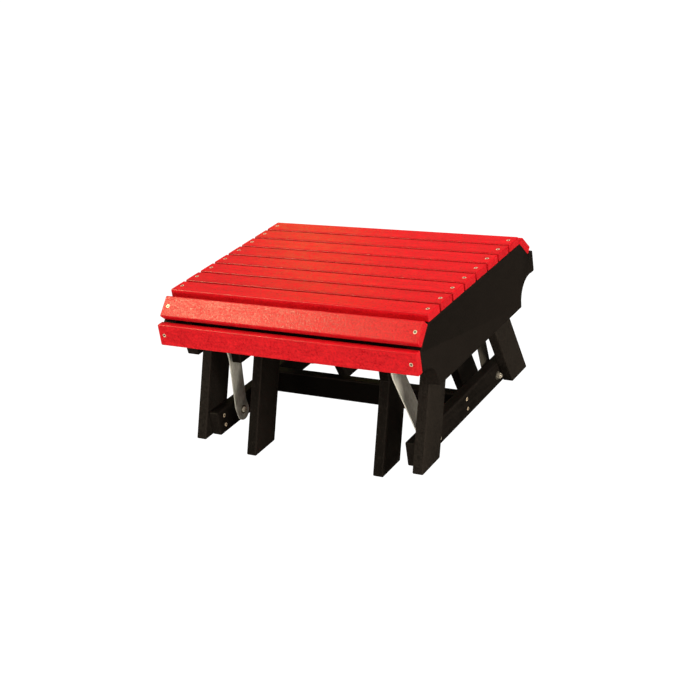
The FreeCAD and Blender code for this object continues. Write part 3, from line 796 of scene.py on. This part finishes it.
bar_metal = {
    "front": bare_metal(
        "bar_aluminium", (0.44, 0.48, 0.48), (0.92, 0.98, 0.99), (0.34, 0.55), 240.0, 0.15,
        BAR_STRETCH, BAR_RELIEF
    ),
    # Painted shade: the rear bars' aluminium is made dark, for the shade they hang in under the seat.
    "rear": bare_metal(
        "bar_aluminium_painted_shade", (0.045, 0.042, 0.038), (0.10, 0.095, 0.085), (0.5, 0.7), 240.0, 0.2,
        BAR_STRETCH, BAR_RELIEF
    )
}
NYLON = [(0.62, 0.60, 0.54), (0.74, 0.72, 0.66), (0.70, 0.68, 0.62)]
bush_nylon = lumber("bush_nylon", NYLON, rough=(0.35, 0.5), relief=0.02, specular=0.5)
for end, way in ENDS.items():
    for side, sign in SIDES.items():
        lower_x = sign * (low_rail_in - WASHER_THICK - FACE_GAP - BAR_THICK / 2)
        upper_x = sign * (base_rail_out + UPPER_SPACER + FACE_GAP + BAR_THICK / 2)
        points = bar_surface(lower_x, upper_x, way)
        faces = grid_faces(points.shape[0], points.shape[1])
        bar = piece(
            f"flat_bar_{end}_{side}", points.reshape(-1, 3), faces, bar_metal[end], tone=BAR_PAINTED_LIGHT[side]
        )
        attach(bar, f"swing_bar_{end}_{side}")
        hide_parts(f"swing_bar_{end}_{side}")
        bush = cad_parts[f"bushes_{end}_{side}"]
        bush.data.materials.clear()
        bush.data.materials.append(bush_nylon)

# Pivot bolts, nuts and washers. Zinc-plated M8 hex bolts pass through bar, washer and rail, with a
# thicker spacer at the upper pivots, and nuts on the far face. Hex corners are chamfered 30 degrees.
HALF_FLATS = 6.5 * MM
CHAMFER_ROUND = 6.25 * MM
CHAMFER = math.radians(30)
HEAD_THICK = 5.3 * MM
NUT_THICK = 6.8 * MM
BOLT_RADIUS = 3.95 * MM
BOLT_TAIL = 4.0 * MM
BOLT_MIDDLE = 0.3 * MM
BOLT_TIP = 1.6 * MM
THREAD_PITCH = 1.25 * MM
THREAD_DEPTH = 0.55 * MM
THREAD_ROWS = 6
THREAD_LEAD = 0.3 * MM
THREAD_TAPER = np.array([[0.25], [0.5], [0.8]]) * MM
NUT_BORE = 3.65 * MM
WASHER_RADIUS = 10.2 * MM
WASHER_EASE = 0.25 * MM
AROUND = 48
AROUND_ANGLE = round_angles(AROUND)


def on_axis(radius, depth, way, x, y, z):
    """Rings of radius and depth about an X axis through (y, z), depth running from x along way."""
    across = radius * np.cos(AROUND_ANGLE)
    rise = radius * np.sin(AROUND_ANGLE)
    depth = np.broadcast_to(depth, across.shape)
    return np.stack([x + way * depth, y + across, z + rise], -1)


def hex_rings(thick, bore):
    """Radii and depths of a hex. Its rim lies half flats / cos(angle off a flat) from the middle, and
    past CHAMFER_ROUND the face falls back by tan(CHAMFER) of the way out. With bore 0 it is a head."""
    off_flat = (AROUND_ANGLE + math.pi / 6) % (math.pi / 3) - math.pi / 6
    rim = HALF_FLATS / np.cos(off_flat)
    fall = np.maximum(rim - CHAMFER_ROUND, 0) * math.tan(CHAMFER)
    ones = np.ones(AROUND)
    radius = [bore * ones, CHAMFER_ROUND * ones, rim, rim]
    depth = [0 * ones, 0 * ones, fall, thick * ones - (fall if bore else 0)]
    if bore:
        radius += [CHAMFER_ROUND * ones, bore * ones]
        depth += [thick * ones, thick * ones]
    return np.array(radius), np.array(depth)


def bolt_points(way, head_x, y, z, length):
    """Head then shank, threaded over its last stretch: the radius falls by THREAD_DEPTH times a
    triangle wave of depth / pitch less angle / 2 pi."""
    head_radius, head_depth = hex_rings(HEAD_THICK, 0.0)
    head_radius[0] = BOLT_MIDDLE
    tip_at = HEAD_THICK + length
    thread_from = tip_at - BOLT_TAIL - NUT_THICK
    rows = np.arange(thread_from, tip_at, THREAD_PITCH / THREAD_ROWS)[:, None]
    phase = (rows / THREAD_PITCH - AROUND_ANGLE / (2 * math.pi)) % 1
    thread = BOLT_RADIUS - THREAD_DEPTH * (1 - np.abs(2 * phase - 1))
    thread[-len(THREAD_TAPER):] -= THREAD_TAPER
    ones = np.ones((1, AROUND))
    radius = [head_radius, BOLT_RADIUS * ones, BOLT_RADIUS * ones, thread, (BOLT_RADIUS - BOLT_TIP) * ones]
    depth = [head_depth, HEAD_THICK * ones, (thread_from - THREAD_LEAD) * ones, rows * ones, tip_at * ones]
    return on_axis(np.concatenate(radius), np.concatenate(depth), way, head_x, y, z)


def ring_points(inner, outer, thick, way, x, y, z):
    """A washer or spacer: a closed loop of radii, its outer edges eased by WASHER_EASE."""
    eased = outer - WASHER_EASE
    radius = np.array([inner, eased, outer, outer, eased, inner])[:, None]
    depth = np.array([0, 0, WASHER_EASE, thick - WASHER_EASE, thick, thick])[:, None]
    return on_axis(radius, depth, way, x, y, z)


# Painted shade: the washers' zinc is made dark, so that each bright bolt head has a dark ring round it.
zinc_painted_shade = bare_metal(
    "zinc_washer_painted_shade", (0.05, 0.05, 0.045), (0.30, 0.29, 0.27), (0.3, 0.5), 420.0, 0.5
)
zinc = bare_metal(
    "zinc_hardware", (0.40, 0.39, 0.36), (1.0, 0.98, 0.92), (0.18, 0.4), 420.0, 0.35
)
for level, body in (("upper", "base"), ("lower", "seat")):
    nuts = []
    washers = []
    for side, sign in SIDES.items():
        for end, way in ENDS.items():
            if level == "upper":
                bar_way, spacer = sign, UPPER_SPACER
                rail_face, far_face = sign * base_rail_out, sign * base_rail_in
                y, z = SWING_MIDDLE + way * UPPER_Y, UPPER_Z
            else:
                bar_way, spacer = -sign, WASHER_THICK
                rail_face, far_face = sign * low_rail_in, sign * low_rail_out
                y, z = SWING_MIDDLE + way * LOWER_Y, LOWER_Z
            head_face = rail_face + bar_way * (spacer + BAR_THICK + 2 * FACE_GAP)
            head_x = head_face + bar_way * (WASHER_THICK + HEAD_THICK)
            length = abs(far_face - head_face) + 2 * WASHER_THICK + NUT_THICK + BOLT_TAIL
            points = bolt_points(-bar_way, head_x, y, z, length)
            bolt = piece(
                f"hex_bolt_{level}_{end}_{side}", points.reshape(-1, 3),
                grid_faces(points.shape[0], AROUND), zinc
            )
            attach(bolt, body)
            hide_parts(f"{level}_bolt_{end}_{side}")
            nut_x = far_face - bar_way * WASHER_THICK
            nuts.append(on_axis(*hex_rings(NUT_THICK, NUT_BORE), -bar_way, nut_x, y, z))
            for x, thick, ring_way in (
                (head_face, WASHER_THICK, bar_way), (far_face, WASHER_THICK, -bar_way),
                (rail_face, spacer, bar_way)
            ):
                washers.append(ring_points(BOLT_RADIUS, WASHER_RADIUS, thick, ring_way, x, y, z))
    for kind, parts, metal in (("nuts", nuts, zinc), ("washers", washers, zinc_painted_shade)):
        faces = []
        for count, part in enumerate(parts):
            faces += grid_faces(part.shape[0], AROUND, count * part.shape[0] * AROUND, closed_rows=True)
        joined = piece(
            f"zinc_{level}_{kind}", np.concatenate([part.reshape(-1, 3) for part in parts]), faces, metal
        )
        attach(joined, body)
        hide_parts(f"{level}_{kind}")

# Studio. Four soft lights wash the piece, of which the right one also shines, and three more only
# shine, on the front slope and the top slats. Floor and surround show plain white to the camera, as in
# a cut-out picture. Matt light meets a pale floor, gloss a dark one, and both a dim warm surround.
FLOOR_RADIUS = 9.0
FLOOR_SIDES = 64
CUT_OUT_WHITE = 1.12
CUT_OUT_SHARE = 0.97
angle = round_angles(FLOOR_SIDES)
rim = FLOOR_RADIUS * np.stack([np.cos(angle), np.sin(angle), 0 * angle], -1)
floor_mesh = bpy.data.meshes.new("studio_floor")
floor_mesh.from_pydata(rim.tolist(), [], [list(range(FLOOR_SIDES))])
floor = bpy.data.objects.new("studio_floor", floor_mesh)
bpy.context.scene.collection.objects.link(floor)
pale = bpy.data.materials.new("pale_floor")
pale.use_nodes = True
tree = pale.node_tree
shader = tree.nodes["Principled BSDF"]
shader.inputs["Roughness"].default_value = 0.9
path = node(tree, "ShaderNodeLightPath")
grey = mixed(tree, "RGBA", path.outputs["Is Glossy Ray"], (0.80, 0.78, 0.75, 1), (0.06, 0.06, 0.06, 1))
tree.links.new(grey, shader.inputs["Base Color"])
glow = node(tree, "ShaderNodeEmission", Color=(1, 1, 1, 1), Strength=CUT_OUT_WHITE)
mix = node(tree, "ShaderNodeMixShader")
seen = node(tree, "ShaderNodeMath", operation="MULTIPLY")
seen.inputs[1].default_value = CUT_OUT_SHARE
tree.links.new(path.outputs["Is Camera Ray"], seen.inputs[0])
tree.links.new(seen.outputs[0], mix.inputs[0])
tree.links.new(shader.outputs[0], mix.inputs[1])
tree.links.new(glow.outputs[0], mix.inputs[2])
tree.links.new(mix.outputs[0], tree.nodes["Material Output"].inputs["Surface"])
floor_mesh.materials.append(pale)
floor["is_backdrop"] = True

world = bpy.data.worlds.new("studio_surround")
bpy.context.scene.world = world
world.use_nodes = True
tree = world.node_tree
surround = tree.nodes["Background"]
surround.inputs["Color"].default_value = (1.0, 0.90, 0.78, 1)
surround.inputs["Strength"].default_value = 0.17
white = node(tree, "ShaderNodeBackground", Color=(1, 1, 1, 1), Strength=CUT_OUT_WHITE)
path = node(tree, "ShaderNodeLightPath")
mix = node(tree, "ShaderNodeMixShader")
tree.links.new(path.outputs["Is Camera Ray"], mix.inputs[0])
tree.links.new(surround.outputs[0], mix.inputs[1])
tree.links.new(white.outputs[0], mix.inputs[2])
tree.links.new(mix.outputs[0], tree.nodes["World Output"].inputs["Surface"])

LIGHT_AIM = Vector((0, 0, 0.28))
WARM = (1.0, 0.87, 0.68)
for name, direction, distance, size, power, colour, washes, shines in (
    ("key", (-0.45, -0.60, 0.66), 2.2, 1.0, 6.0, WARM, True, False),
    ("right_fill", (0.94, -0.20, 0.24), 2.6, 1.2, 39.0, WARM, True, True),
    ("overhead", (0.06, 0.24, 0.96), 2.4, 1.6, 56.0, WARM, True, False),
    ("low_front", (-0.10, -0.98, -0.07), 2.2, 0.8, 25.0, WARM, True, False),
    ("slope_shine", (-0.60, -0.43, 0.655), 1.5, 0.6, 20.0, (1.0, 0.95, 0.55), False, True),
    ("top_shine", (-0.51, 0.76, 0.40), 2.5, 1.8, 0.9, (1.0, 0.85, 0.20), False, True),
    ("rear_shine", (-0.58, 0.76, 0.31), 1.43, 0.35, 0.36, (1.0, 0.85, 0.12), False, True),
):
    lamp = bpy.data.lights.new(name, "AREA")
    lamp.shape = "DISK"
    lamp.size = size
    lamp.energy = power
    lamp.color = colour
    soft = bpy.data.objects.new(name, lamp)
    away = Vector(direction).normalized()
    soft.location = LIGHT_AIM + away * distance
    soft.rotation_euler = away.to_track_quat("Z", "Y").to_euler()
    soft.visible_diffuse = washes
    soft.visible_glossy = shines
    bpy.context.scene.collection.objects.link(soft)

# Camera. It stands to the right of the front, looks down on the slats and is tipped a little
# clockwise. The lens follows from the picture's width and the fitted focal length.
CAMERA_AZIMUTH = math.radians(33.71457)
CAMERA_ELEVATION = math.radians(23.60949)
CAMERA_ROLL = math.radians(-8.37639)
CAMERA_DISTANCE = 3.061888
CAMERA_TARGET = Vector((0.019645, -0.060085, 0.204878))
FOCAL_PIXELS = 1338.357
PICTURE_PIXELS = 700
SENSOR = 36.0
back = Vector((
    math.sin(CAMERA_AZIMUTH) * math.cos(CAMERA_ELEVATION),
    -math.cos(CAMERA_AZIMUTH) * math.cos(CAMERA_ELEVATION),
    math.sin(CAMERA_ELEVATION)
))
level = (-back).cross(Vector((0, 0, 1))).normalized()
upright = level.cross(-back)
right = level * math.cos(CAMERA_ROLL) + upright * math.sin(CAMERA_ROLL)
up = upright * math.cos(CAMERA_ROLL) - level * math.sin(CAMERA_ROLL)
camera_data = bpy.data.cameras.new("studio_camera")
camera_data.sensor_width = SENSOR
camera_data.lens = FOCAL_PIXELS / PICTURE_PIXELS * SENSOR
camera = bpy.data.objects.new("studio_camera", camera_data)
placing = Matrix((right, up, back)).transposed().to_4x4()
placing.translation = CAMERA_TARGET + back * CAMERA_DISTANCE
camera.matrix_world = placing
bpy.context.scene.collection.objects.link(camera)
bpy.context.scene.camera = camera
bpy.context.scene.view_settings.view_transform = "Standard"

low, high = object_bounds()
